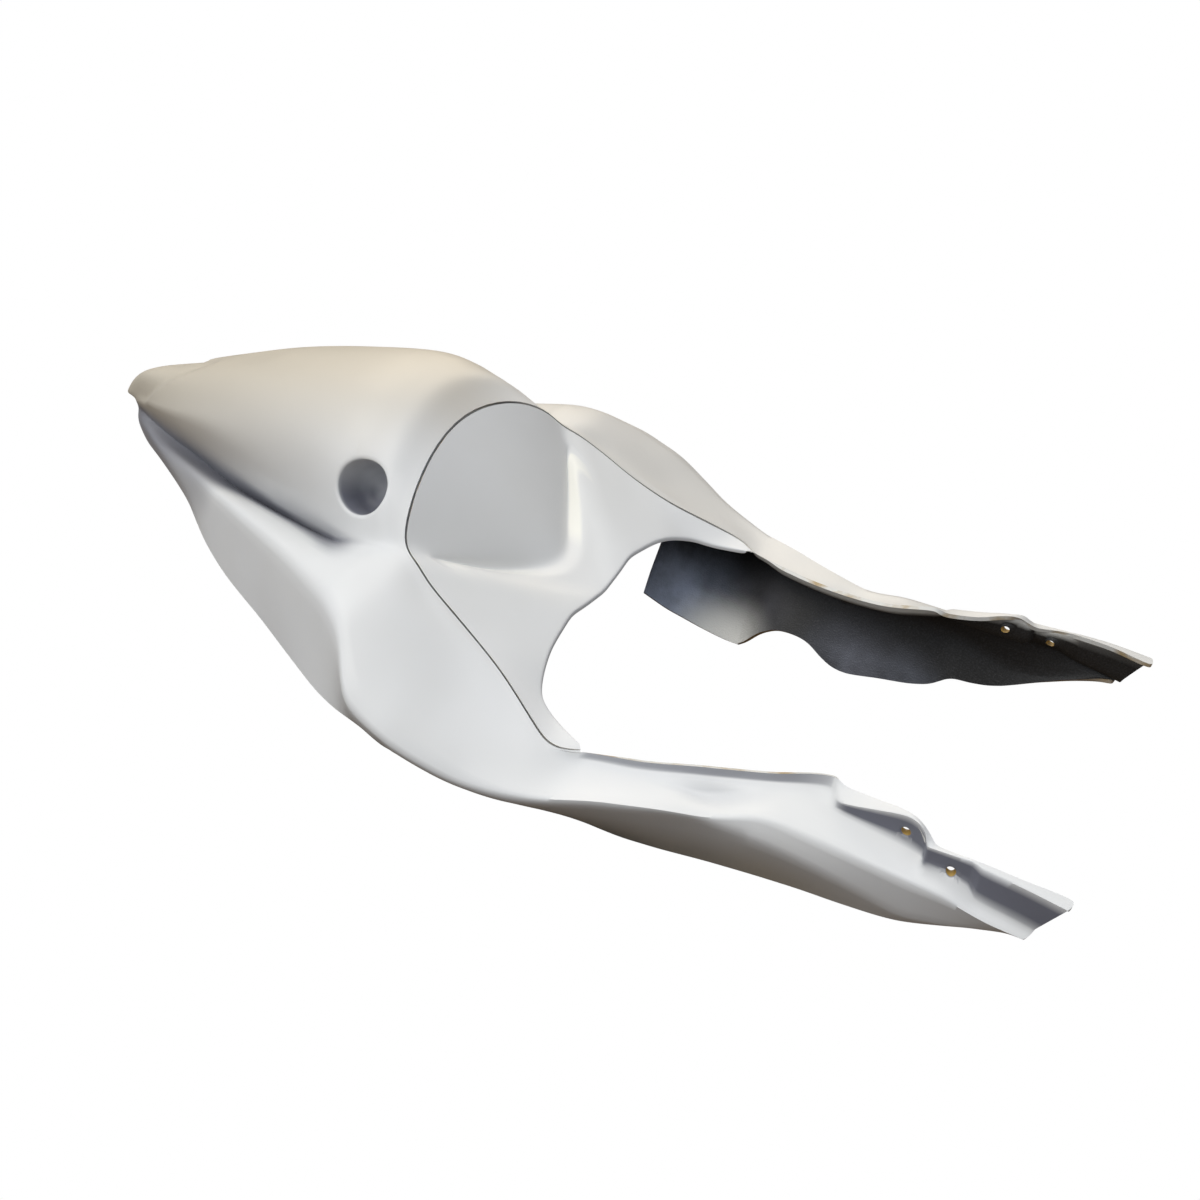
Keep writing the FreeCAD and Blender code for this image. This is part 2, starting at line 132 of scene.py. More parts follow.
HEM = [(-388, 11, 145), (-375, 18, 134), (-346, 32, 129), (-299, 55, 116), (-259, 82, 106),
       (-209, 111, 102), (-154, 139, 102), (-102, 167, 102), (-50, 193, 103), (-26, 199, 102),
       (-4, 201, 92), (26, 121, 20), (44, 121, 15.5), (60, 121, 11), (85, 120, 6.5), (95, 120, 6),
       (118, 119, 4.2), (140, 119, 6), (187, 117.5, 11), (213, 118, 14.5), (240, 119.2, 18.2),
       (276, 124.5, 25.5), (308, 129, 33.4), (334, 131.4, 44.4), (359, 131.8, 54.6),
       (379, 130, 60.5), (403, 130, 58)]
LEFT_CUTS = [(85, 120, 6.5), (95, 120, 4.6), (102, 120, 4.6), (113, 120, 14), (119.5, 120, 21),
             (128, 120, 26.5), (136, 120, 30), (144, 120, 30), (157, 120, 27.6),
             (170, 119, 18.7), (183, 118, 12.3), (192, 118, 11), (219, 118.5, 15.2),
             (242, 119.2, 18.2), (256, 121, 21.5),
             (262, 122, 24.5), (268, 123, 29), (275, 124, 31.2), (282, 125, 30.4), (296, 127, 31),
             (308, 129, 33.4)]

# Where the hem turns in under the hip: station of the row, then the pole itself
HEM_TURN = [(-4, -4, 201, 92), (2, 7, 194, 84), (8, 13, 178, 69), (14, 15.5, 150, 48),
            (20, 15.5, 120, 27), (26, 26, 120, 22.5)]


def slope_at(points, i, axis):
    """Slope at point i that never overshoots the neighbouring points."""
    last = len(points) - 1
    before, here, after = points[max(i - 1, 0)], points[i], points[min(i + 1, last)]
    if i in (0, last):
        return (after[axis] - before[axis]) / (after[0] - before[0])
    back = (here[axis] - before[axis]) / (here[0] - before[0])
    ahead = (after[axis] - here[axis]) / (after[0] - here[0])
    if back * ahead <= 0:
        return 0.0
    return 2 * back * ahead / (back + ahead)


def on_line(points, x):
    """Half width and height of a line at station x."""
    x = min(max(x, points[0][0]), points[-1][0])
    k = 0
    while points[k + 1][0] < x:
        k += 1
    span = points[k + 1][0] - points[k][0]
    t = (x - points[k][0]) / span
    found = []
    for axis in (1, 2):
        rise0 = slope_at(points, k, axis) * span
        rise1 = slope_at(points, k + 1, axis) * span
        found.append((2 * t ** 3 - 3 * t ** 2 + 1) * points[k][axis]
                     + (t ** 3 - 2 * t ** 2 + t) * rise0
                     + (3 * t ** 2 - 2 * t ** 3) * points[k + 1][axis] + (t ** 3 - t ** 2) * rise1)
    return found


def mix(a, b, share):
    return a + (b - a) * share


def ease(share):
    """A smooth step from 0 to 1."""
    share = min(max(share, 0.0), 1.0)
    return share * share * (3 - 2 * share)


def spread(start, end, steps):
    """Evenly spaced stations after start, up to end."""
    return [mix(start, end, (k + 1) / steps) for k in range(steps)]


TAIL_X, CORNER_X, TONGUE_X, TIP_X = -403.0, -51.0, 102.0, 403.0
HEM_FROM, HEM_TO = -4.0, 26.0
ROWS = ([TAIL_X] + spread(TAIL_X, -381, 3) + spread(-381, -291, 12) + spread(-291, CORNER_X, 14)
        + spread(CORNER_X, HEM_FROM, 4) + spread(HEM_FROM, HEM_TO, 5) + spread(HEM_TO, TONGUE_X, 7)
        + spread(TONGUE_X, 198, 16) + spread(198, 252, 6) + spread(252, 305, 10)
        + spread(305, 326, 7) + spread(326, 340, 3) + spread(340, 355, 5) + spread(355, TIP_X, 6))
SEAM_ROW = ROWS.index(CORNER_X)
TONGUE_ROW = ROWS.index(TONGUE_X)
print("cage rows", len(ROWS), "seam row", SEAM_ROW, "tongue row", TONGUE_ROW)

# %% [markdown]
# ## The cage
# One cross-section is made at each station, from hem to crown, and mirrored. Near the seam the
# hump leans back, at the tail the section closes, and the ends of the arms are cut on a slant.

# %% Sections of the cage
SIDE_LINES = [HEM, FLANK, HIP, LEDGE, GROOVE, BROW, EDGE]
ARM_END_SLANT = [24.0, 23.0, 21.0, 18.0, 17.0, 3.0, 0.0]
SLANT_START_X = 348.0
TAIL_BLEND_X = -381.0
HUMP_UPPER, HUMP_LOWER = (0.55, 0.97), (0.90, 0.58)
TAIL_UPPER, TAIL_LOWER = (0.56, 0.94), (0.84, 0.42)
TAIL_FULL_X, HUMP_FULL_X = -290.0, -130.0
SEAM_UPPER, SEAM_LOWER = (0.52, 0.80), (0.88, 0.34)
SEAM_SETBACK = 19.0
SEAM_REACH = 41.0
EDGE_COL = len(SIDE_LINES) - 1
CROWN_COL = EDGE_COL + 3
COLS = 2 * CROWN_COL + 1


def station_on(line, x, cut_back):
    """Station of a line's pole in the row at x: the ends of the lines don't all reach as far."""
    if x < TAIL_BLEND_X:
        return mix(line[0][0], TAIL_BLEND_X, (x - TAIL_X) / (TAIL_BLEND_X - TAIL_X))
    return x - cut_back * max(0.0, (x - SLANT_START_X) / (TIP_X - SLANT_START_X))


def half_section(x, left):
    """Poles from hem to crown at station x, with y as half width."""
    near_seam = math.exp(-((x - CORNER_X) / SEAM_REACH) ** 2)
    poles = []
    for line, cut_back in zip(SIDE_LINES, ARM_END_SLANT):
        station = station_on(line, x, cut_back)
        if left and line is HEM and LEFT_CUTS[0][0] < station < LEFT_CUTS[-1][0]:
            line = LEFT_CUTS
        poles.append((station, *on_line(line, station)))
    if HEM_FROM < x <= HEM_TO:
        turn = [(row, w, z) for row, station, w, z in HEM_TURN]
        reach = [(row, station, 0) for row, station, w, z in HEM_TURN]
        poles[0] = (on_line(reach, x)[0], *on_line(turn, x))
    edge = poles[-1]
    crown_x = x - SEAM_SETBACK * near_seam
    crown_z = on_line(CROWN, crown_x)[1]
    fullness = ease((x - TAIL_FULL_X) / (HUMP_FULL_X - TAIL_FULL_X))
    for tail, hump, seam, lean in ((TAIL_LOWER, HUMP_LOWER, SEAM_LOWER, 0.25),
                                   (TAIL_UPPER, HUMP_UPPER, SEAM_UPPER, 0.65)):
        width = edge[1] * mix(mix(tail[0], hump[0], fullness), seam[0], near_seam)
        height = mix(edge[2], crown_z, mix(mix(tail[1], hump[1], fullness), seam[1], near_seam))
        poles.append((x - SEAM_SETBACK * lean * near_seam, width, height))
    poles.append((crown_x, 0.0, crown_z))
    return poles


cage = []
for station in ROWS:
    right_half = [at(x, -w, z) for x, w, z in half_section(station, False)]
    left_half = [at(x, w, z) for x, w, z in half_section(station, True)]
    cage.append(right_half + left_half[-2::-1])
print("cage", len(cage), "x", len(cage[0]), "poles")

# %% [markdown]
# ## The seam
# The seat pan fills the opening between the arms' roots and the hump. Both pieces share the poles
# along the seam, so their edges run side by side with an even gap.

# %% Seam, fold and front edge of the pan
SEAM_GAP = 1.9
FOLD = [(13, 0, 124), (0, 29, 129), (-11, 49, 138), (-22, 69, 147), (-44, 97, 167)]
PAN_FRONT = [(44, 0, 109), (43, 28, 112), (42, 44, 114), (43, 52, 113), (46, 76, 109.5),
             (50, 92, 105.5), (56, 108, 98.5), (61, 114.5, 95.5), (75, 122, 90), (98, 132, 86)]

last_col = COLS - 1 - EDGE_COL
seam = [cage[i][EDGE_COL] for i in range(TONGUE_ROW, SEAM_ROW, -1)]
side_count = len(seam)
seam += [cage[SEAM_ROW][j] for j in range(EDGE_COL, last_col + 1)]
seam += [cage[i][last_col] for i in range(SEAM_ROW + 1, TONGUE_ROW + 1)]
middle_row = len(seam) // 2


def along(points, count):
    """Points evenly spread along a drawn line, from its outer end to the middle."""
    points = [Vector(p) for p in reversed(points)]
    runs = [0.0]
    for a, b in zip(points[:-1], points[1:]):
        runs.append(runs[-1] + (b - a).length)
    line = [(run, p.y, p.z) for run, p in zip(runs, points)]
    stations = [(run, p.x, 0.0) for run, p in zip(runs, points)]
    found = []
    for k in range(count):
        run = runs[-1] * k / (count - 1)
        width, height = on_line(line, run)
        found.append((on_line(stations, run)[0], width, height))
    return found


front_half = along(PAN_FRONT, middle_row + 1)
fold_half = along(FOLD, middle_row + 1 - side_count)
pan_front, pan_fold = [], []
for k in range(len(seam)):
    mirror = 1 if k > middle_row else -1
    m = len(seam) - 1 - k if k > middle_row else k
    x, width, height = front_half[m]
    pan_front.append(at(x, mirror * width, height))
    if m < side_count:
        pan_fold.append(mix(seam[k], pan_front[k], 0.3))
    else:
        x, width, height = fold_half[m - side_count]
        pan_fold.append(at(x, mirror * width, height))
inward = [(fold - edge).normalized() for fold, edge in zip(pan_fold, seam)]
upright = []
for k in range(len(seam)):
    run = seam[min(k + 1, len(seam) - 1)] - seam[max(k - 1, 0)]
    normal = inward[k].cross(run).normalized()
    upright.append(normal if normal.z > 0 else -normal)
for turn in range(6):
    for vectors in (inward, upright):
        vectors[1:-1] = [(a + 2 * b + c).normalized()
                         for a, b, c in zip(vectors[:-2], vectors[1:-1], vectors[2:])]
print("seam poles", len(seam))

# %% [markdown]
# ## Tail shell: the cage as a mesh
# A flat grid is the start, as when a sheet is laid over a plug: each of its points goes to its
# pole. The block of faces over the seat is deleted, the rebate that carries the pan is added
# along the opening, and the tail end is closed.

# %% Shell cage
REBATE_DROP = 4.5
REBATE_WIDTH = 14.0
REBATE_SHARE = 0.45
n_rows = len(ROWS)
bpy.ops.object.select_all(action="DESELECT")
bpy.ops.mesh.primitive_grid_add(x_subdivisions=n_rows - 1, y_subdivisions=COLS - 1, size=1)
shell = bpy.context.object
shell.name = "tail_shell_skin"
bm = bmesh.new()
bm.from_mesh(shell.data)
corner = bm.verts.layers.float.new("crease_vert")
bm.verts.ensure_lookup_table()
vert_at = {}
for j in range(COLS):
    for i in range(n_rows):
        vert = bm.verts[j * n_rows + i]
        vert.co = cage[i][j]
        vert_at[i, j] = vert
place = {vert: key for key, vert in vert_at.items()}
seat_faces = [face for face in bm.faces
              if all(place[v][0] >= SEAM_ROW and EDGE_COL <= place[v][1] <= last_col for v in face.verts)]
bmesh.ops.delete(bm, geom=seat_faces, context="FACES")
seam_keys = ([(i, EDGE_COL) for i in range(TONGUE_ROW, SEAM_ROW, -1)]
             + [(SEAM_ROW, j) for j in range(EDGE_COL, last_col + 1)]
             + [(i, last_col) for i in range(SEAM_ROW + 1, TONGUE_ROW + 1)])
steps, ledges = [], []
for k, edge in enumerate(seam):
    width = min(REBATE_WIDTH * MM, REBATE_SHARE * (pan_front[k] - edge).length)
    run_out = 0.15 + 0.85 * ease(min(k, len(seam) - 1 - k) / 4)
    step = edge - upright[k] * (REBATE_DROP * run_out * MM)
    steps.append(bm.verts.new(step))
    ledges.append(bm.verts.new(step + inward[k] * width))
crease = bm.edges.layers.float.new("crease_edge")
for k in range(len(seam) - 1):
    top = vert_at[seam_keys[k]], vert_at[seam_keys[k + 1]]
    bm.faces.new((top[0], top[1], steps[k + 1], steps[k]))
    bm.faces.new((steps[k], steps[k + 1], ledges[k + 1], ledges[k]))
    for pair in (top, (steps[k], steps[k + 1])):
        bm.edges.get(pair)[crease] = 1.0
for j in range(CROWN_COL - 1):
    far = COLS - 1 - j
    bm.faces.new((vert_at[0, j], vert_at[0, j + 1], vert_at[0, far - 1], vert_at[0, far]))
top = CROWN_COL
bm.faces.new((vert_at[0, top - 1], vert_at[0, top], vert_at[0, top + 1]))

# Stations of the hem's sharp corners, then the lines: column, start and end, sharpness at each
HEM_CORNERS = (20, TONGUE_X)
WALL_CORNERS = (317, 320, 346, 352)
CREASES = [(2, -320, -200, 0.0, 0.38), (2, -200, -51, 0.38, 0.38), (2, -51, 102, 0.4, 0.4),
           (2, 102, 403, 0.5, 0.5), (1, 0, 215, 0.35, 0.35), (1, 215, 403, 0.5, 0.5),
           (5, 102, 255, 0.75, 0.75), (4, 102, 255, 0.5, 0.5), (4, 258, 403, 0.85, 0.85),
           (5, 258, 403, 0.9, 0.9), (4, -390, -150, 0.6, 0.6), (4, -150, -84, 0.6, 0.1),
           (6, -390, -300, 0.6, 0.5), (6, -300, -200, 0.4, 0.1)]
for col, start, end, sharp_start, sharp_end in CREASES:
    for i in range(n_rows - 1):
        middle = 0.5 * (ROWS[i] + ROWS[i + 1])
        if start <= middle <= end:
            sharpness = mix(sharp_start, sharp_end, (middle - start) / (end - start))
            for j in (col, COLS - 1 - col):
                edge = bm.edges.get((vert_at[i, j], vert_at[i + 1, j]))
                edge[crease] = max(edge[crease], sharpness)
for i, station in enumerate(ROWS):
    if any(abs(station - x) < 0.5 for x in HEM_CORNERS):
        for j in (0, COLS - 1):
            vert_at[i, j][corner] = 1.0
    if any(abs(station - x) < 0.5 for x in WALL_CORNERS):
        for j in (4, COLS - 6):
            bm.edges.get((vert_at[i, j], vert_at[i, j + 1]))[crease] = 0.45
bmesh.ops.recalc_face_normals(bm, faces=bm.faces[:])
crown_face = next(face for face in bm.faces if vert_at[6, CROWN_COL] in face.verts)
if crown_face.normal.z < 0:
    bmesh.ops.reverse_faces(bm, faces=bm.faces[:])
bm.to_mesh(shell.data)
bm.free()
print("shell cage faces", len(shell.data.polygons))

# %% [markdown]
# The subdivision surface rounds the cage into the moulded skin. It is applied, so the small forms can be
# worked into the dense mesh.

# %% Smooth the shell


def apply_modifiers(piece):
    bpy.ops.object.select_all(action="DESELECT")
    piece.select_set(True)
    bpy.context.view_layer.objects.active = piece
    for modifier in list(piece.modifiers):
        bpy.ops.object.modifier_apply(modifier=modifier.name)


def smooth_cage(piece, levels):
    modifier = piece.modifiers.new("smooth", "SUBSURF")
    modifier.levels = levels
    modifier.render_levels = levels
    modifier.boundary_smooth = "ALL"
    apply_modifiers(piece)


smooth_cage(shell, 2)
print("shell skin faces", len(shell.data.polygons))

# %% [markdown]
# ## Small forms in the skin
# A shallow step crosses the crown near the tail, each arm has a scoop beside its lip, and the front
# rim of the hump is rolled a little. A sculpt brush could make them, but they are small and follow
# the drawn lines, so each point of the mesh is moved by a soft formula.

# %% Step across the tail
STEP_DEPTH = 3.0
STEP_MIDDLE_X = -300.0
STEP_SIDE_X = -366.0
STEP_SOFT = 8.0
STEP_FADE = 26.0


def step_share(place):
    """How far behind the step's line a place lies, in mm, and its share of the crown."""
    x, y, z = place.x / MM, abs(place.y / MM), (place.z - LIFT) / MM
    edge_width, edge_height = on_line(EDGE, x)
    above = ease((z - edge_height + 4) / 8) * ease((x - TAIL_X) / 25)
    line_x = mix(STEP_MIDDLE_X, STEP_SIDE_X, min(y / max(edge_width, 1.0), 1.0) ** 1.3)
    return line_x - x, above


moved = 0
mesh = shell.data
for vert in mesh.vertices:
    if vert.co.x / MM < STEP_MIDDLE_X + 20:
        behind, above = step_share(vert.co)
        depth = STEP_DEPTH * above * ease(behind / STEP_SOFT + 0.5)
        depth *= math.exp(-max(behind, 0.0) / STEP_FADE)
        vert.co -= vert.normal * (depth * MM)
        moved += depth > 0.05
print("points in the step", moved)

# %% Scoops in the arms
SCOOP = (184, 124)
SCOOP_REACH = (24, 10)
SCOOP_DEPTH = 6.0
for vert in mesh.vertices:
    x, w = vert.co.x / MM, abs(vert.co.y / MM)
    along_arm, across_arm = (x - SCOOP[0]) / SCOOP_REACH[0], (w - SCOOP[1]) / SCOOP_REACH[1]
    if vert.co.z / MM > 60 and math.hypot(along_arm, across_arm) < 3:
        on_shelf = ease((w - on_line(GROOVE, x)[0]) / 5) * ease((vert.normal.z - 0.1) / 0.4)
        vert.co.z -= on_shelf * SCOOP_DEPTH * MM * math.exp(-along_arm ** 2 - across_arm ** 2)
print("scoops pressed in beside the lips")

# %% Rolled rim of the hump
ROLL_HEIGHT = 1.5
ROLL_BACK = 16.0
ROLL_SOFT = 9.0


def behind_rim(place):
    """How far a place lies behind the front rim of the hump, in mm."""
    width = min(abs(place.y / MM) / on_line(EDGE, CORNER_X)[0], 1.0)
    return CORNER_X - SEAM_SETBACK * (1 - width ** 2) - place.x / MM


for vert in mesh.vertices:
    behind = behind_rim(vert.co)
    if 0 < behind < 50 and vert.co.z / MM > 160:
        swell = math.exp(-((behind - ROLL_BACK) / ROLL_SOFT) ** 2)
        vert.co += vert.normal * (ROLL_HEIGHT * MM * swell)
print("front rim of the hump rolled")

# %% [markdown]
# ## Tones of the coat
# The coat isn't an even white. The groove, the cups and the upright walls of the arms are painted grey:
# this is painted shade. The crown and the left side get a warm tint, which is painted warm light, and low
# on the arms the same tint is painted warm shade. Pale mist lies inside along the lips. Masks on the
# points of the mesh say where each tone lies, because it follows the form: one for the painted shade, one
# for the warm tint and one for the overspray. A fourth mask, thin, keeps the wall off the sleeves of the
# bolt holes.

# %% Painted shade in the groove and on the arms' walls
GROOVE_END_X = -78.0
# GROOVE_TONE and LIP_TONE say how much shade is painted into the groove and onto the lip walls.
GROOVE_TONE, LIP_TONE = 0.84, 0.8
FLANGE_X = 255.0


def groove_shade(x, w, z):
    """How deep a point lies in the groove under the hump, 0 to 1."""
    bottom_w, bottom_z = on_line(GROOVE, x)
    out, up = w - bottom_w, z - bottom_z
    on_hump = up > 1.2 * out
    tailward = ease((-150 - x) / 140)
    at_tail = ease((-215 - x) / 90)
    edge_w, edge_z = on_line(EDGE, x)
    rise = math.hypot(edge_w - bottom_w, edge_z - bottom_z)
    reach = min(mix(9, 46, tailward), 0.97 * rise) if on_hump else mix(30, 50, at_tail)
    plateau = mix(0.45, 0.05, tailward) if on_hump else mix(0.5, 0.15, at_tail)
    fade = ease((x - TAIL_X) / 12) * ease((GROOVE_END_X - x) / 45)
    return GROOVE_TONE * fade * (1 - ease((math.hypot(out, up) / reach - plateau) / (1 - plateau)))


def wall_shade(vert, x, z):
    """How far a point lies on the upright walls of an arm, 0 to 1."""
    upright_share = 1 - ease((abs(vert.normal.z) - 0.25) / 0.4)
    if x > FLANGE_X:
        return upright_share * ease((z - on_line(HIP, x)[1] - 3) / 6) * ease((x - FLANGE_X) / 15)
    return LIP_TONE * upright_share * ease((z - on_line(LEDGE, x)[1] - 2) / 3)


# %% Masks on the skin
# Painted warm light: a warm tint towards the top, the rear and the left, and over the left side. Low on
# the arms the same tint is painted warm shade, and it fades at the hump's front rim.
WARM_LIGHT_TOWARD = Vector((-0.25, 0.3, 0.75))
WARM_LIGHT_FROM, WARM_LIGHT_SPAN = 130.0, 100.0
LEFT_WARM_LIGHT, HEM_WARM_SHADE, RIM_UNTINTED = 0.35, 0.9, 0.75
# STEP_TONE paints a thin shadow line along the step, SCOOP_TONE paints shade into the scoops.
STEP_TONE, STEP_TONE_SOFT, SCOOP_TONE = 0.1, 5.0, 0.12
MASKS = ("recess_shade", "overspray", "painted_warmth", "thin")
for name in MASKS:
    mesh.attributes.new(name, "FLOAT", "POINT")
recess_shade, overspray, painted_warmth = [mesh.attributes[name] for name in MASKS[:3]]
for vert in mesh.vertices:
    x, w, z = vert.co.x / MM, abs(vert.co.y / MM), (vert.co.z - LIFT) / MM
    # Painted warm light on the crown and the left side.
    yellow = ease((vert.co.dot(WARM_LIGHT_TOWARD) / MM - WARM_LIGHT_FROM) / WARM_LIGHT_SPAN)
    yellow = max(yellow, LEFT_WARM_LIGHT * ease((vert.co.y / MM - 40) / 70))
    # Painted warm shade low on the arms, near the hem.
    if x > 20 and z < on_line(HIP, x)[1]:
        low, high = on_line(HEM, x)[1], on_line(HIP, x)[1]
        hem_shade = 1 - ease((z - low) / (0.8 * max(high - low, 1.0)))
        yellow = max(yellow, HEM_WARM_SHADE * hem_shade * ease((330 - x) / 120))
    # The painted warm light fades near the hump's front rim.
    if x < CORNER_X:
        on_rim = ease((z - on_line(EDGE, x)[1]) / 10)
        rim_fade = 1 - ease((behind_rim(vert.co) - 2) / mix(14, 44, min(w / 100, 1.0)))
        yellow *= 1 - RIM_UNTINTED * on_rim * rim_fade * ease(w / 75)
    painted_warmth.data[vert.index].value = yellow
    # Painted shade in the groove, and a painted shadow line along the step.
    if x < GROOVE_END_X:
        shade = groove_shade(x, w, z)
        if x < STEP_MIDDLE_X + 20:
            behind, above = step_share(vert.co)
            line = math.exp(-((behind - 0.5) / STEP_TONE_SOFT) ** 2)
            shade = max(shade, STEP_TONE * above * line)
        recess_shade.data[vert.index].value = shade
    # Painted shade on the upright walls of the arms and in the scoops.
    elif x > TONGUE_X:
        hollow = math.hypot((x - SCOOP[0]) / SCOOP_REACH[0], (w - SCOOP[1] + 2) / SCOOP_REACH[1])
        scooped = SCOOP_TONE * (1 - ease(hollow / 1.5))
        recess_shade.data[vert.index].value = max(wall_shade(vert, x, z), scooped)
    if x > TONGUE_X - 8:
        overspray.data[vert.index].value = ease((z - on_line(EDGE, x)[1] + 7) / 4)
print("masks set on", len(mesh.vertices), "points")

# %% [markdown]
# ## Cups and bolt holes
# A blind cup sits in each side of the hump, and two bolt holes go through each arm. The skin is
# opened round the axis, and rings of points lead from it into the cup or to the hole's rim. A
# boolean cut would leave ragged shading in a curved skin, and rings keep it smooth.

# %% Sink rings into the skin
RING_POINTS = 64
RESIN_SLOT = 3


def sink(piece, centre, axis, clear, rings, floor, sleeve):
    """Open the skin round an axis and add rings that lead inwards.

    A ring is radius, depth, whether it follows the skin, and its painted shade low and high. Without
    these it takes the painted shade of the skin. A floor depth closes the last ring, a sleeve runs
    inwards from it.
    """
    bm = bmesh.new()
    bm.from_mesh(piece.data)
    skin = BVHTree.FromBMesh(bm)
    bm.faces.ensure_lookup_table()
    recess_shade, painted_warmth, thin = [bm.verts.layers.float[name] for name in ("recess_shade", "painted_warmth", "thin")]
    axis = axis.normalized()
    side = axis.cross(Vector((0, 0, 1))).normalized()
    other = axis.cross(side)
    old = []
    for face in bm.faces:
        offset = face.calc_center_median() - centre
        height = offset.dot(axis)
        within = (offset - axis * height).length < clear
        if within and abs(height) < 2 * clear + 0.006 and face.normal.dot(axis) > 0:
            old.append(face)
    rim_edges = {edge for face in old for edge in face.edges}
    inside = set(old)
    rim_edges = [edge for edge in rim_edges if any(face not in inside for face in edge.link_faces)]
    loops = []
    for radius, depth, follows, low, high in rings:
        loop = []
        for k in range(RING_POINTS):
            turn = 2 * math.pi * k / RING_POINTS
            spot = centre + (side * math.cos(turn) + other * math.sin(turn)) * radius
            shade, tint = mix(low or 0.0, high or 0.0, ease(0.5 - 0.8 * math.sin(turn))), 0.0
            if follows:
                hit, normal, index, gap = skin.ray_cast(spot + axis * 0.03, -axis)
                spot = hit if hit is not None else spot
                if hit is not None:
                    near = bm.faces[index].verts
                    tint = sum(corner[painted_warmth] for corner in near) / len(near)
                    if low is None:
                        shade = sum(corner[recess_shade] for corner in near) / len(near)
            vert = bm.verts.new(spot - axis * depth)
            vert[recess_shade], vert[painted_warmth] = shade, tint
            loop.append(vert)
        loops.append(loop)
    bmesh.ops.delete(bm, geom=old, context="FACES")
    first = [bm.edges.new((loops[0][k], loops[0][(k + 1) % RING_POINTS])) for k in range(RING_POINTS)]
    made = bmesh.ops.bridge_loops(bm, edges=[e for e in rim_edges if e.is_valid] + first)["faces"]
    for a, b in zip(loops[:-1], loops[1:]):
        for k in range(RING_POINTS):
            m = (k + 1) % RING_POINTS
            made.append(bm.faces.new((a[k], a[m], b[m], b[k])))
    if floor is not None:
        bottom = bm.verts.new(centre - axis * floor)
        # The floor of a cup gets half the painted shade.
        bottom[recess_shade] = 0.5
        for k in range(RING_POINTS):
            made.append(bm.faces.new((loops[-1][k], loops[-1][(k + 1) % RING_POINTS], bottom)))
    if sleeve:
        inner = [bm.verts.new(vert.co - axis * sleeve) for vert in loops[-1]]
        for k in range(RING_POINTS):
            inner[k][thin] = 0.9
            m = (k + 1) % RING_POINTS
            face = bm.faces.new((loops[-1][k], loops[-1][m], inner[m], inner[k]))
            face.material_index = RESIN_SLOT
    bmesh.ops.recalc_face_normals(bm, faces=bm.faces[:])
    probe = min(bm.faces, key=lambda f: (f.calc_center_median() - at(-200, 0, 236)).length)
    if probe.normal.z < 0:
        bmesh.ops.reverse_faces(bm, faces=bm.faces[:])
    bm.to_mesh(piece.data)
    bm.free()


CUP_R = 18.5
CUP_DEPTH = 24.0
# The last two numbers of a ring are its painted shade low and high: the cups are painted darker at the
# bottom than at the top.
CUP_RINGS = [(CUP_R + 3.5, 0.0, True, None, None), (CUP_R + 1.4, 0.2, True, None, None),
             (CUP_R + 0.5, 0.8, True, 0.1, 0.0), (CUP_R, 2.0, True, 0.75, 0.3),
             (CUP_R - 0.3, 5.0, True, 1.0, 0.25), (CUP_R - 0.6, 0.6 * CUP_DEPTH, False, 1.0, 0.1),
             (CUP_R - 1.4, 0.82 * CUP_DEPTH, False, 1.0, 0.05),
             (CUP_R - 4.0, 0.94 * CUP_DEPTH, False, 1.0, 0.05),
             (CUP_R - 9.0, 0.99 * CUP_DEPTH, False, 0.9, 0.15)]
CUP_AXIS = (0.032, 0.874, 0.484)
CUP_PLACE = (-93, 84.6, 196.3)
CUP_CLEAR = 28.5
for turn in (-1, 1):
    axis = Vector((CUP_AXIS[0], turn * CUP_AXIS[1], CUP_AXIS[2]))
    rings = [(ring[0] * MM, ring[1] * MM, *ring[2:]) for ring in CUP_RINGS]
    sink(shell, at(CUP_PLACE[0], turn * CUP_PLACE[1], CUP_PLACE[2]), axis, CUP_CLEAR * MM, rings,
         CUP_DEPTH * MM, 0.0)
print("cups sunk")

BOLT_R = 2.75
BOLT_SLEEVE = 5.0
# The ring at the rim of each bolt hole is painted fully in shade.
BOLT_RINGS = [(BOLT_R + 2.2, 0.0, True, None, None), (BOLT_R + 0.6, 0.1, True, None, None),
              (BOLT_R, 0.5, True, 1.0, 1.0)]
BOLTS = [(304, 113, 93), (333.85, 121.3, 85)]
BOLT_CLEAR = 6.6
for turn in (-1, 1):
    for x, width, height in BOLTS:
        axis = Vector((0.268, turn * 0.963, 0))
        rings = [(ring[0] * MM, ring[1] * MM, *ring[2:]) for ring in BOLT_RINGS]
        sink(shell, at(x, turn * width, height), axis, BOLT_CLEAR * MM, rings, None, BOLT_SLEEVE * MM)
print("bolt holes opened")

# %% [markdown]
# ## Finishes
# Four finishes meet on the part: the satin primer gelcoat outside, the dark laminate inside, the raw
# trimmed edge, and amber resin in the bolt holes. Each look is a node group that gives colours,
# roughness and bump from noise and from the masks, and the shader itself stays in the material.

# %% Helpers for the finishes


def new_material(name):
    material = bpy.data.materials.new(name)
    material.use_nodes = True
    return material, material.node_tree.nodes, material.node_tree.links


def new_group(name, outputs):
    """A node group that reads Object coordinates through its first input."""
    group = bpy.data.node_groups.new(name, "ShaderNodeTree")
    group.interface.new_socket("Place", in_out="INPUT", socket_type="NodeSocketVector")
    for label, kind in outputs:
        group.interface.new_socket(label, in_out="OUTPUT", socket_type=kind)
    start = group.nodes.new("NodeGroupInput")
    end = group.nodes.new("NodeGroupOutput")
    return group, start, end


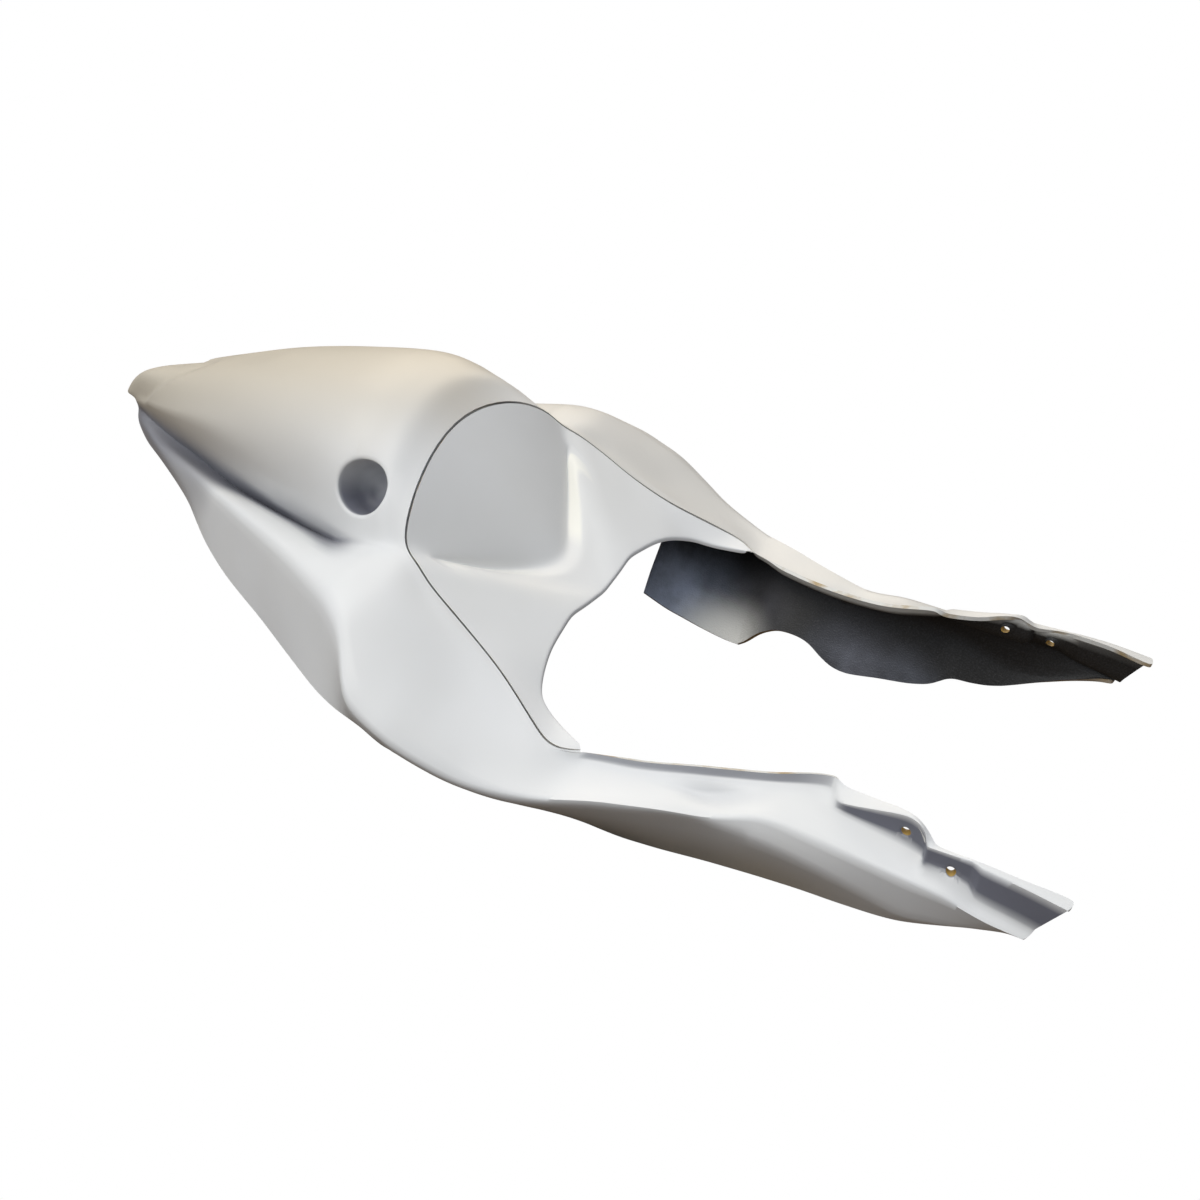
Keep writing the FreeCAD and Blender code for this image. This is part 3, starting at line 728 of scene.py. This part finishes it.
def noise_mask(group, place, scale, detail, low, high):
    """A soft mask of noise: 0 below low, 1 above high."""
    noise = group.nodes.new("ShaderNodeTexNoise")
    noise.inputs["Scale"].default_value = scale
    noise.inputs["Detail"].default_value = detail
    span = group.nodes.new("ShaderNodeMapRange")
    span.inputs["From Min"].default_value = low
    span.inputs["From Max"].default_value = high
    group.links.new(place, noise.inputs["Vector"])
    group.links.new(noise.outputs["Fac"], span.inputs["Value"])
    return span.outputs["Result"]


def mixed(group, share, first, second):
    """A colour mixed by a mask; first and second are colours or sockets."""
    node = group.nodes.new("ShaderNodeMix")
    node.data_type = "RGBA"
    group.links.new(share, node.inputs["Factor"])
    for socket, value in ((node.inputs[6], first), (node.inputs[7], second)):
        if isinstance(value, tuple):
            socket.default_value = (*value, 1)
        else:
            group.links.new(value, socket)
    return node.outputs[2]


# %% Primer gelcoat
skin_look, inside, outside = new_group("gelcoat_look", [("Color", "NodeSocketColor"),
                                                        ("Roughness", "NodeSocketFloat"),
                                                        ("Normal", "NodeSocketVector")])
place = inside.outputs["Place"]
cloud = noise_mask(skin_look, place, 9.0, 3.0, 0.35, 0.65)
tone = mixed(skin_look, cloud, (0.785, 0.782, 0.768), (0.815, 0.815, 0.81))
# Painted warm light and painted warm shade, from the mask of the warm tint.
warmth_mask = skin_look.nodes.new("ShaderNodeAttribute")
warmth_mask.attribute_name = "painted_warmth"
warm_tone = mixed(skin_look, warmth_mask.outputs["Fac"], tone, (0.60, 0.54, 0.44))
# Painted shade, grey-blue, from the mask of the groove, the cups and the walls.
hollow = skin_look.nodes.new("ShaderNodeAttribute")
hollow.attribute_name = "recess_shade"
# A painted highlight, pale cream, along the fold of the pan.
fold_highlight = skin_look.nodes.new("ShaderNodeAttribute")
fold_highlight.attribute_name = "fold_highlight"
pale_tone = mixed(skin_look, fold_highlight.outputs["Fac"], warm_tone, (0.96, 0.945, 0.87))
shaded = mixed(skin_look, hollow.outputs["Fac"], pale_tone, (0.195, 0.20, 0.24))
skin_look.links.new(shaded, outside.inputs["Color"])
sheen = noise_mask(skin_look, place, 38.0, 4.0, 0.3, 0.7)
sheen_range = skin_look.nodes.new("ShaderNodeMapRange")
sheen_range.inputs["To Min"].default_value = 0.36
sheen_range.inputs["To Max"].default_value = 0.46
skin_look.links.new(sheen, sheen_range.inputs["Value"])
skin_look.links.new(sheen_range.outputs["Result"], outside.inputs["Roughness"])
grain = noise_mask(skin_look, place, 700.0, 2.0, 0.2, 0.8)
grain_bump = skin_look.nodes.new("ShaderNodeBump")
grain_bump.inputs["Strength"].default_value = 0.05
grain_bump.inputs["Distance"].default_value = 0.0002
skin_look.links.new(grain, grain_bump.inputs["Height"])
skin_look.links.new(grain_bump.outputs["Normal"], outside.inputs["Normal"])


def finish(name, group):
    """A material whose shader takes what the group gives."""
    material, nodes, links = new_material(name)
    shader = nodes["Principled BSDF"]
    coordinates = nodes.new("ShaderNodeTexCoord")
    look = nodes.new("ShaderNodeGroup")
    look.node_tree = group
    links.new(coordinates.outputs["Object"], look.inputs["Place"])
    for label, socket in (("Color", "Base Color"), ("Roughness", "Roughness"), ("Normal", "Normal")):
        if label in look.outputs:
            links.new(look.outputs[label], shader.inputs[socket])
    return material, shader


gelcoat, shader = finish("primer_gelcoat", skin_look)
shader.inputs["Specular IOR Level"].default_value = 0.5

# %% Dark laminate with spray mist
fibre_look, inside, outside = new_group("laminate_look", [("Color", "NodeSocketColor"),
                                                          ("Normal", "NodeSocketVector")])
place = inside.outputs["Place"]
speck = noise_mask(fibre_look, place, 900.0, 3.0, 0.45, 0.8)
dark = mixed(fibre_look, speck, (0.017, 0.016, 0.015), (0.045, 0.044, 0.045))
split = fibre_look.nodes.new("ShaderNodeSeparateXYZ")
fibre_look.links.new(place, split.inputs["Vector"])
either_side = fibre_look.nodes.new("ShaderNodeMath")
either_side.operation = "ABSOLUTE"
fibre_look.links.new(split.outputs["Y"], either_side.inputs[0])
mirrored = fibre_look.nodes.new("ShaderNodeCombineXYZ")
fibre_look.links.new(split.outputs["X"], mirrored.inputs["X"])
fibre_look.links.new(either_side.outputs["Value"], mirrored.inputs["Y"])
fibre_look.links.new(split.outputs["Z"], mirrored.inputs["Z"])
cloudy = noise_mask(fibre_look, place, 30.0, 5.0, 0.15, 0.6)


def spray_spot(centre, reach, patchy):
    """A mask that fades out from a place on the inside of the arm."""
    away = fibre_look.nodes.new("ShaderNodeVectorMath")
    away.operation = "DISTANCE"
    away.inputs[1].default_value = at(*centre)
    fibre_look.links.new(mirrored.outputs["Vector"], away.inputs[0])
    fade = fibre_look.nodes.new("ShaderNodeMapRange")
    fade.interpolation_type = "SMOOTHSTEP"
    fade.inputs["From Min"].default_value = reach * MM
    fade.inputs["From Max"].default_value = 0.0
    fibre_look.links.new(away.outputs["Value"], fade.inputs["Value"])
    if not patchy:
        return fade.outputs["Result"]
    both = fibre_look.nodes.new("ShaderNodeMath")
    both.operation = "MULTIPLY"
    fibre_look.links.new(fade.outputs["Result"], both.inputs[0])
    fibre_look.links.new(cloudy, both.inputs[1])
    return both.outputs["Value"]


sprayed = dark
# The first spot, pale blue, is spray mist in part and painted light in part.
for centre, reach, patchy, colour in (((38, 119, 32), 76, True, (0.60, 0.67, 0.84)),
                                      ((100, 119, 50), 50, True, (0.13, 0.13, 0.15)),
                                      ((195, 119, 10), 58, True, (0.20, 0.21, 0.25)),
                                      ((238, 121, 16), 38, True, (0.14, 0.15, 0.18)),
                                      ((72, 119, 4), 44, False, (0.86, 0.87, 0.85)),
                                      ((97, 119, 0), 50, False, (0.94, 0.93, 0.88))):
    sprayed = mixed(fibre_look, spray_spot(centre, reach, patchy), sprayed, colour)
lip_spray = fibre_look.nodes.new("ShaderNodeAttribute")
lip_spray.attribute_name = "overspray"
inner_tone = mixed(fibre_look, lip_spray.outputs["Fac"], sprayed, (0.62, 0.61, 0.57))
fibre_look.links.new(inner_tone, outside.inputs["Color"])
fibre_bump = fibre_look.nodes.new("ShaderNodeBump")
fibre_bump.inputs["Strength"].default_value = 0.35
fibre_bump.inputs["Distance"].default_value = 0.0008
fibre_look.links.new(speck, fibre_bump.inputs["Height"])
fibre_look.links.new(fibre_bump.outputs["Normal"], outside.inputs["Normal"])
laminate, shader = finish("dark_laminate", fibre_look)
shader.inputs["Roughness"].default_value = 0.55

# %% Raw edge and resin
edge_look, inside, outside = new_group("raw_edge_look", [("Color", "NodeSocketColor")])
ragged = noise_mask(edge_look, inside.outputs["Place"], 55.0, 4.0, 0.5, 0.68)
split = edge_look.nodes.new("ShaderNodeSeparateXYZ")
edge_look.links.new(inside.outputs["Place"], split.inputs["Vector"])
low_edge = edge_look.nodes.new("ShaderNodeMapRange")
low_edge.inputs["From Min"].default_value = 0.075
low_edge.inputs["From Max"].default_value = 0.045
edge_look.links.new(split.outputs["Z"], low_edge.inputs["Value"])
ivory = mixed(edge_look, ragged, (0.70, 0.69, 0.65), (0.45, 0.34, 0.19))
edge_tone = mixed(edge_look, low_edge.outputs["Result"], ivory, (0.30, 0.19, 0.08))
edge_look.links.new(edge_tone, outside.inputs["Color"])
raw_edge, shader = finish("raw_edge", edge_look)
shader.inputs["Roughness"].default_value = 0.7
resin, nodes, links = new_material("amber_resin")
nodes["Principled BSDF"].inputs["Base Color"].default_value = (0.46, 0.30, 0.08, 1)
nodes["Principled BSDF"].inputs["Roughness"].default_value = 0.45
print("finishes", [m.name for m in (gelcoat, laminate, raw_edge, resin)])

# %% [markdown]
# ## The wall
# The laminate is about 3 mm thick. Solidify gives the wall, and puts the finish of the inside and
# of the trimmed edge on faces of their own. A vertex group makes the wall thinner at the tail, where
# the two sides come close, and along the seam, where shell and pan overlap.

# %% How a piece gets its wall
SHELL_WALL = 3.0
PAN_WALL = 2.6


def give_wall(piece, wall):
    for material in (gelcoat, laminate, raw_edge, resin, laminate):
        piece.data.materials.append(material)
    group = piece.vertex_groups.new(name="wall")
    thin = piece.data.attributes.get("thin")
    cut = [item.value for item in thin.data] if thin else [0.0] * len(piece.data.vertices)
    for vert in piece.data.vertices:
        share = min(max((vert.co.x / MM - TAIL_X) / 130, 0.1), 1.0)
        from_seam = min((vert.co - pole).length for pole in seam) / MM
        share *= mix(0.2, 1.0, ease((from_seam - 12) / 22))
        share *= 1 - cut[vert.index]
        group.add([vert.index], share, "REPLACE")
    modifier = piece.modifiers.new("wall", "SOLIDIFY")
    modifier.thickness = wall * MM
    modifier.offset = -1.0
    modifier.use_even_offset = False
    modifier.vertex_group = "wall"
    modifier.thickness_vertex_group = 0.0
    modifier.material_offset = 1
    modifier.material_offset_rim = 2
    apply_modifiers(piece)


# %% [markdown]
# ## Seat pan
# The pan is a second sheet with a backrest, a soft V-shaped fold, a sloping base and a front edge turned
# down. Its cage runs along the seam, with columns from the seam to the front lip. A pale band along the
# fold is a painted highlight: the column number is kept on the points, so the band follows the fold.

# %% Seat pan cage
PAN_BEND = 3.0
PAN_LIP = 3.0
BANK_DEPTH = 8.0
BANK_WIDTH = 17.0
VALLEY_COL = 4
pan_rows = []
for k, edge in enumerate(seam):
    start = edge + inward[k] * (SEAM_GAP * MM)
    fold, front = pan_fold[k], pan_front[k]
    reach = (front - fold).length
    lip = min(PAN_LIP * MM, 0.45 * (front - edge).length)
    bend = min(PAN_BEND * MM, 0.3 * reach)
    ahead = (front - fold).normalized()
    from_end = min(k, len(seam) - 1 - k) - side_count
    bank = BANK_DEPTH * MM * ease(abs(fold.y) / MM / 45) * ease((from_end + 1) / 3)
    valley = fold + ahead * (2 * MM) - upright[k] * bank
    shoulder = fold + ahead * min(BANK_WIDTH * MM, 0.35 * reach) + upright[k] * (0.2 * bank)
    pan_rows.append([start, mix(start, fold, 0.06), mix(start, fold, 0.5), mix(start, fold, 0.88), valley,
                     shoulder, mix(fold, front, 0.55), front - ahead * bend, front,
                     front + Vector((0, 0, -lip))])
pan_cols = len(pan_rows[0])
bpy.ops.object.select_all(action="DESELECT")
bpy.ops.mesh.primitive_grid_add(x_subdivisions=len(seam) - 1, y_subdivisions=pan_cols - 1, size=1)
pan = bpy.context.object
pan.name = "seat_pan_skin"
bm = bmesh.new()
bm.from_mesh(pan.data)
across = bm.verts.layers.float.new("across")
# The painted highlight along the fold is kept as a mask on the points.
beside_fold = bm.verts.layers.float.new("fold_highlight")
bm.verts.ensure_lookup_table()
for j in range(pan_cols):
    for k in range(len(seam)):
        vert = bm.verts[j * len(seam) + k]
        vert.co = pan_rows[k][j]
        vert[across] = j
        vert[beside_fold] = float(side_count <= k < len(seam) - side_count)
crease = bm.edges.layers.float.new("crease_edge")
bm.verts.ensure_lookup_table()
for column, sharpness in ((VALLEY_COL, 0.3), (VALLEY_COL + 1, 0.25)):
    for k in range(side_count, len(seam) - side_count - 1):
        pair = bm.verts[column * len(seam) + k], bm.verts[column * len(seam) + k + 1]
        from_end = min(k, len(seam) - 2 - k) - side_count
        bm.edges.get(pair)[crease] = sharpness * ease((from_end + 1) / 3)
bmesh.ops.recalc_face_normals(bm, faces=bm.faces[:])
highest = max(bm.faces, key=lambda f: f.calc_center_median().z)
if highest.normal.z < 0:
    bmesh.ops.reverse_faces(bm, faces=bm.faces[:])
bm.to_mesh(pan.data)
bm.free()
smooth_cage(pan, 3)

# %% Painted highlight along the fold
# The painted highlight is full on the left side and weaker on the right.
RIGHT_BAND = 0.35
across, fold_highlight = [pan.data.attributes[name] for name in ("across", "fold_highlight")]
for vert in pan.data.vertices:
    column = across.data[vert.index].value - VALLEY_COL
    band = ease((column + 0.06) / 0.16) * (1 - ease((column - 0.85) / 0.3))
    on_side = ease((abs(vert.co.y / MM) - 16) / 20) * (1.0 if vert.co.y > 0 else RIGHT_BAND)
    fold_highlight.data[vert.index].value *= band * on_side
print("pale band set")

# %% Walls of both pieces
give_wall(shell, SHELL_WALL)
give_wall(pan, PAN_WALL)
for piece in (shell, pan):
    bpy.ops.object.select_all(action="DESELECT")
    piece.select_set(True)
    bpy.context.view_layer.objects.active = piece
    bpy.ops.object.shade_smooth_by_angle(angle=math.radians(60))
    print(piece.name, "faces", len(piece.data.polygons))

# %% [markdown]
# ## Floor and light
# The part lies on a plain floor under four soft lamps and a dim sky. The camera sees the floor and
# the backdrop as plain white. For bounced light the floor isn't white but dark brown, which keeps
# the undersides of the arms dim and warm. A Light Path node tells the two apart.

# %% Floor
bpy.ops.object.select_all(action="DESELECT")
bpy.ops.mesh.primitive_plane_add(size=12, location=(0, 0, 0))
floor = bpy.context.object
floor.name = "floor"
floor_paint, nodes, links = new_material("floor_white_to_view")
paint = nodes["Principled BSDF"]
paint.inputs["Base Color"].default_value = (0.11, 0.075, 0.042, 1)
paint.inputs["Roughness"].default_value = 0.9
seen = nodes.new("ShaderNodeEmission")
seen.inputs["Color"].default_value = (1.0, 1.0, 1.0, 1)
seen.inputs["Strength"].default_value = 1.0
path = nodes.new("ShaderNodeLightPath")
choice = nodes.new("ShaderNodeMixShader")
links.new(path.outputs["Is Camera Ray"], choice.inputs["Fac"])
links.new(paint.outputs["BSDF"], choice.inputs[1])
links.new(seen.outputs["Emission"], choice.inputs[2])
links.new(choice.outputs["Shader"], nodes["Material Output"].inputs["Surface"])
floor.data.materials.append(floor_paint)
print("floor laid")

# %% Lamps


def soft_light(name, place, target, size, power, colour):
    bpy.ops.object.light_add(type="AREA", location=place)
    lamp = bpy.context.object
    lamp.name = name
    lamp.data.shape = "DISK"
    lamp.data.size = size
    lamp.data.energy = power
    lamp.data.color = colour
    lamp.rotation_euler = (Vector(target) - Vector(place)).to_track_quat("-Z", "Y").to_euler()


soft_light("overhead", (-0.35, -0.55, 2.2), (0, 0, 0.1), 1.8, 21, (1.0, 0.955, 0.87))
soft_light("rear_right", (-1.4, -1.5, 1.5), (-0.1, 0, 0.1), 1.4, 10, (0.92, 0.955, 1.0))
soft_light("rear_left_warm", (-0.8, 1.8, 1.3), (-0.1, 0, 0.1), 2.0, 18, (1.0, 0.87, 0.68))
soft_light("front_fill", (1.9, -0.8, 1.4), (0, 0, 0.1), 1.8, 4.5, (0.97, 0.98, 1.0))
print("four soft lamps")

# %% World
world = bpy.data.worlds.new("soft_room")
bpy.context.scene.world = world
world.use_nodes = True
nodes, links = world.node_tree.nodes, world.node_tree.links
sky = nodes["Background"]
backdrop = nodes.new("ShaderNodeBackground")
backdrop.inputs["Color"].default_value = (1.0, 1.0, 1.0, 1)
seen_by = nodes.new("ShaderNodeLightPath")
either = nodes.new("ShaderNodeMixShader")
links.new(seen_by.outputs["Is Camera Ray"], either.inputs["Fac"])
links.new(sky.outputs["Background"], either.inputs[1])
links.new(backdrop.outputs["Background"], either.inputs[2])
links.new(either.outputs["Shader"], nodes["World Output"].inputs["Surface"])
sky.inputs["Color"].default_value = (0.84, 0.905, 1.0, 1)
direction = nodes.new("ShaderNodeTexCoord")
rise = nodes.new("ShaderNodeSeparateXYZ")
fall_off = nodes.new("ShaderNodeMapRange")
fall_off.inputs["To Min"].default_value = 0.09
fall_off.inputs["To Max"].default_value = 0.78
links.new(direction.outputs["Generated"], rise.inputs["Vector"])
links.new(rise.outputs["Z"], fall_off.inputs["Value"])
links.new(fall_off.outputs["Result"], sky.inputs["Strength"])
bpy.context.scene.view_settings.view_transform = "Standard"
print("world set")

# %% [markdown]
# ## Hand over
# Each skin stands for its solid and rides on the one body.

# %% Hand over
for piece, node, slot in ((shell, "tail_shell", "shell_gelcoat"), (pan, "seat_pan", "pan_gelcoat")):
    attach(piece, "root")
    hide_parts(node)
